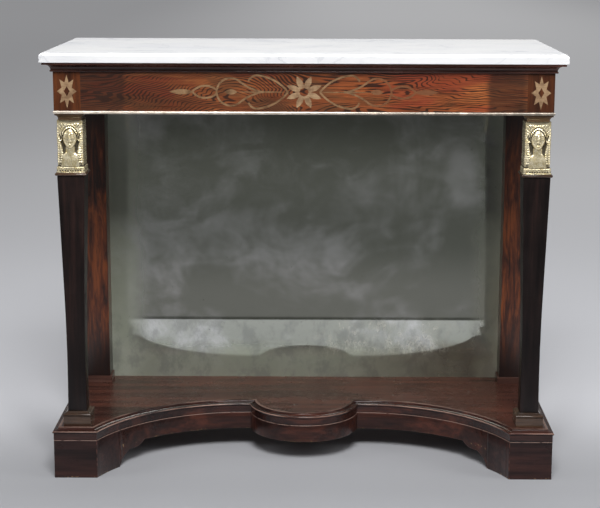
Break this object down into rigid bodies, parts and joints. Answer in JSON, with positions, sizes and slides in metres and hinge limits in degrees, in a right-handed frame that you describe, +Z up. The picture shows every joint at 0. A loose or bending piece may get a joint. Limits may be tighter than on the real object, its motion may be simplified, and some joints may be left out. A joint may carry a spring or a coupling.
{
  "type": "pier table",
  "caption": "Classical pier table: loose marble slab on a brass-inlaid rosewood frieze, tapered front legs with gilt busts, mirror back between square posts, low shaped shelf.",
  "frame": {"origin": "on the floor, under the middle of the marble slab", "axes": "+X to the right along the front, +Y from the front to the wall, +Z up"},
  "size_m": [1.088, 0.49, 0.914],
  "materials": {
    "marble": "polished",
    "rosewood_veneer": "french polished",
    "dark_wood": "french polished",
    "post_wood": "french polished",
    "plain_wood": "unfinished",
    "brass": "aged",
    "gilt_casting": "gilt",
    "mirror_glass": "aged silvering"
  },
  "bodies": {
    "table": {"apron_bow": "dark_wood", "apron_left": "dark_wood", "apron_right": "dark_wood", "back_post_left": "post_wood", "back_post_right": "post_wood", "backboard": "plain_wood", "base_back_rail": "plain_wood", "base_mould_bow": "dark_wood", "base_mould_left_curve": "dark_wood", "base_mould_left_foot": "dark_wood", "base_mould_left_side": "dark_wood", "base_mould_right_curve": "dark_wood", "base_mould_right_foot": "dark_wood", "base_mould_right_side": "dark_wood", "base_side_rail_left": "dark_wood", "base_side_rail_right": "dark_wood", "brass_bead_front": "brass", "brass_bead_left": "brass", "brass_bead_right": "brass", "capital_left": "dark_wood", "capital_right": "dark_wood", "caryatid_left": "gilt_casting", "caryatid_right": "gilt_casting", "collar_left": "dark_wood", "collar_right": "dark_wood", "corner_block_back_left": "plain_wood", "corner_block_back_right": "plain_wood", "corner_block_front_left": "plain_wood", "corner_block_front_right": "plain_wood", "corner_veneer_left": "rosewood_veneer", "corner_veneer_right": "rosewood_veneer", "cornice_front": "dark_wood", "cornice_left": "dark_wood", "cornice_right": "dark_wood", "cross_bearer": "plain_wood", "frieze_back_rail": "plain_wood", "frieze_front_rail": "dark_wood", "frieze_left_rail": "dark_wood", "frieze_right_rail": "dark_wood", "frieze_veneer": "rosewood_veneer", "front_foot_left": "dark_wood", "front_foot_right": "dark_wood", "inlay_rosette": "brass", "inlay_scroll_left": "brass", "inlay_scroll_right": "brass", "inlay_star_left": "brass", "inlay_star_right": "brass", "leg_left": "dark_wood", "leg_plinth_left": "dark_wood", "leg_plinth_right": "dark_wood", "leg_right": "dark_wood", "mirror_plate": "mirror_glass", "post_base_left": "dark_wood", "post_base_right": "dark_wood", "rear_foot_left": "dark_wood", "rear_foot_right": "dark_wood", "shelf_board": "dark_wood"},
    "slab": {"marble_top": "marble"}
  },
  "joints": [
    {"name": "marble_lift", "type": "slide", "parent": "table", "child": "slab", "axis": [0, 0, 1], "range_m": [0, 0.12]}
  ]
}
